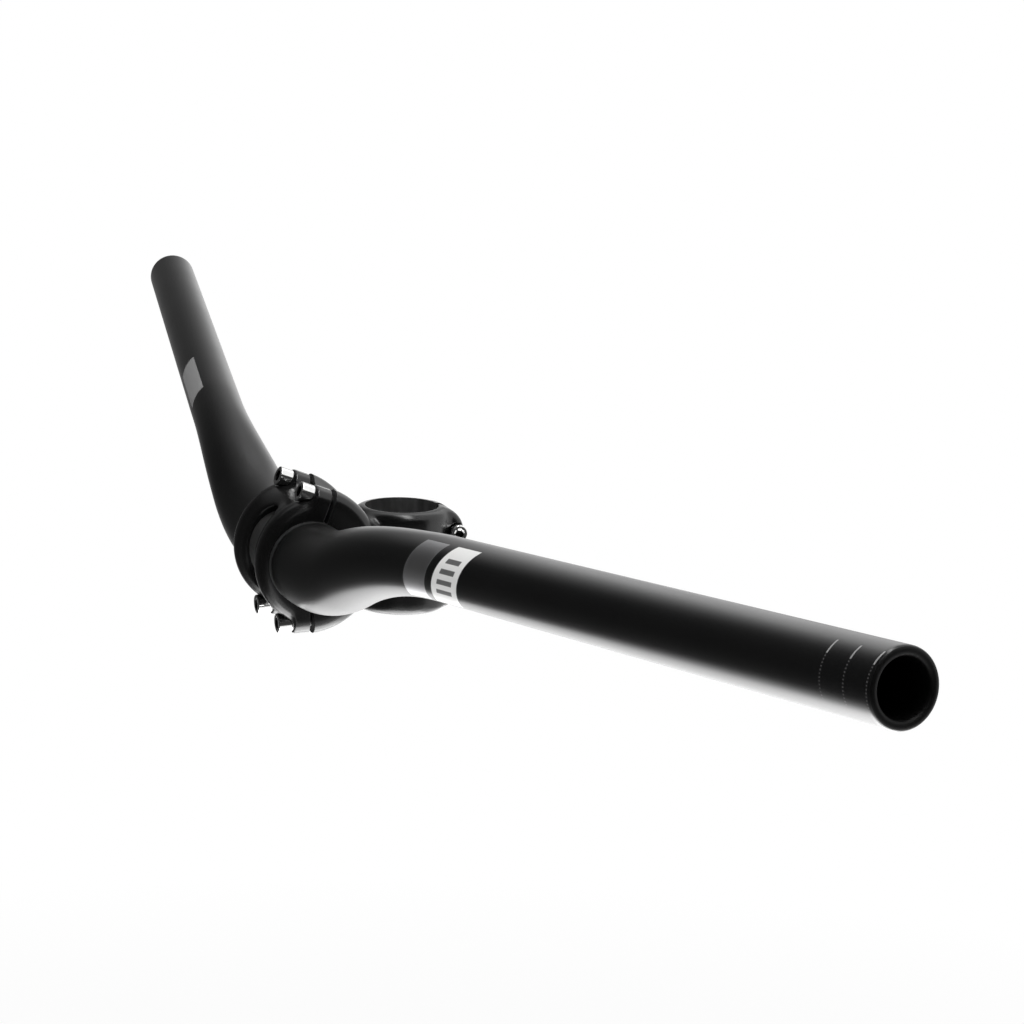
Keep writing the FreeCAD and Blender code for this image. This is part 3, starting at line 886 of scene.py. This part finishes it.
def seenByCamera(tree):
    # 1 for what the camera sees, straight or in a mirror
    seen = put(tree, "ShaderNodeLightPath")
    return (seen["Is Camera Ray"] + seen["Is Glossy Ray"] + seen["Is Transmission Ray"]).math("MINIMUM", 1.0)


def floorFinish():
    material, tree = newMaterial("paleFloor")
    shown = seenByCamera(tree)
    matt = put(tree, "ShaderNodeBsdfDiffuse", None, {"Color": studio["floorGrey"]})
    glow = put(tree, "ShaderNodeEmission", None, {"Color": (1, 1, 1, 1), "Strength": 1.0})
    place = put(tree, "ShaderNodeTexCoord")["Object"]
    reach = put(tree, "ShaderNodeVectorMath", {"operation": "LENGTH"}, {0: place})["Value"]
    near = 1 - step(reach, studio["shadowReach"], studio["shadowFade"])    # the object's shadow stays here
    share = shown * (1 - near * studio["shadowShare"])
    both = put(tree, "ShaderNodeMixShader", None, {0: share, 1: matt, 2: glow})
    put(tree, "ShaderNodeOutputMaterial", None, {"Surface": both})
    return material


def cardFinish(name, shadeOf, strength=1.0):
    material, tree = newMaterial(name)
    place = put(tree, "ShaderNodeSeparateXYZ", None, {0: put(tree, "ShaderNodeTexCoord")["Object"]})
    shade = shadeOf(place).math("MINIMUM", 1.0)
    glow = put(tree, "ShaderNodeEmission", None, {"Color": shade, "Strength": strength})
    put(tree, "ShaderNodeOutputMaterial", None, {"Surface": glow})
    return material


def darkShade(place):
    # a touch paler towards the floor
    return cards["darkLevel"] + (0 - place["Z"]).math("MAXIMUM", 0.0) * cards["darkFall"]


def sideShade(place):
    rear = ((place["Y"] - sideCard["rearStart"]) / sideCard["rearSpan"]).math("MAXIMUM", 0.0)
    high = ((place["Z"] - sideCard["highStart"]) / sideCard["highSpan"]).math("MAXIMUM", 0.0)
    shade = sideCard["level"] + rear * sideCard["slope"] + rear ** 4 * sideCard["gain"]
    shade = shade.math("MINIMUM", sideCard["most"])
    inner = 1 - step(place["Y"], sideCard["lowRear"], sideCard["lowFade"]) * sideCard["lowDrop"]
    low = (1 - place["Z"] / sideCard["lowTop"]).math("MAXIMUM", 0.0)
    shade = shade + rear ** 4 * sideCard["lowGain"] * low * inner
    shade = shade * (1 - high.math("MINIMUM", 1.0) * sideCard["highDrop"])
    shade = shade + high ** 3 * (sideCard["highLevel"] + sideCard["highRear"] * rear)
    return shade / sideCard["strength"]


def overShade(place):
    # fades out forwards
    return step(place["Y"], cards["overMiddle"], cards["overFade"]) ** cards["overPower"]


def makeCard(name, corners, material):
    mesh = bpy.data.meshes.new(name)
    mesh.from_pydata(corners, [], [(0, 1, 2, 3)])
    mesh.materials.append(material)
    card = bpy.data.objects.new(name, mesh)
    card.visible_camera = False
    card.visible_diffuse = False
    card.visible_shadow = False
    scene.collection.objects.link(card)


def upright(start, end, low, high):
    return [(*start, low), (*end, low), (*end, high), (*start, high)]


def makeFloor():
    half = studio["floorSize"] / 2
    mesh = bpy.data.meshes.new("floor")
    mesh.from_pydata([(x, y, floorLevel) for x, y in rectangle(-half, -half, half, half)], [], [(0, 1, 2, 3)])
    mesh.materials.append(floorFinish())
    floor = bpy.data.objects.new("floor", mesh)
    scene.collection.objects.link(floor)


def makeAir():
    world = bpy.data.worlds.new("studioAir")
    world.use_nodes = True
    scene.world = world
    tree = world.node_tree
    tree.nodes.clear()
    level = studio["airLevel"] + (1 - studio["airLevel"]) * seenByCamera(tree)
    air = put(tree, "ShaderNodeBackground", None, {"Color": (1, 1, 1, 1), "Strength": level})
    put(tree, "ShaderNodeOutputWorld", None, {"Surface": air})


def makeCards():
    dark = cardFinish("darkCard", darkShade)
    side = cardFinish("sideCard", sideShade, sideCard["strength"])
    over = cardFinish("overCard", overShade, cards["overStrength"])
    left, right, front, top = cards["left"], cards["right"], cards["front"], cards["frontTop"]
    rear, height = cards["topRear"], cards["topHeight"]
    lift = floorLevel + cards["floorLift"]
    roof = [(left, front, top), (right, front, top), (right, rear, height), (left, rear, height)]
    sideEnds = (left, cards["sideRear"]), (left, front)
    cameraEnds = (right, front), (right, cards["cameraSideRear"])
    makeCard("frontCard", upright((left, front), (right, front), floorLevel, top), dark)
    makeCard("topCard", roof, dark)
    makeCard("floorCard", [(x, y, lift) for x, y in cards["floorCorners"]], dark)
    makeCard("sideCard", upright(*sideEnds, floorLevel, cards["sideTop"]), side)
    makeCard("cameraSideCard", upright(*cameraEnds, floorLevel, cards["cameraSideTop"]), dark)
    makeCard("overCard", upright(*cards["overEnds"], *cards["overHeights"]), over)


def makeCamera():
    lens = bpy.data.cameras.new("photoCamera")
    lens.lens = studio["lens"]
    lens.sensor_width = studio["sensor"]
    camera = bpy.data.objects.new("photoCamera", lens)
    place = Vector(studio["cameraPlace"])
    turn = (Vector(studio["cameraAim"]) - place).to_track_quat("-Z", "Y").to_matrix()
    turn = turn @ Matrix.Rotation(math.radians(studio["cameraRoll"]), 3, "Z")
    camera.matrix_world = Matrix.Translation(place) @ turn.to_4x4()
    scene.collection.objects.link(camera)
    scene.camera = camera


makeFloor()
makeAir()
makeCards()
for name, rule in lamps.items():
    lamp(name, **rule)
makeCamera()
print("studio set")
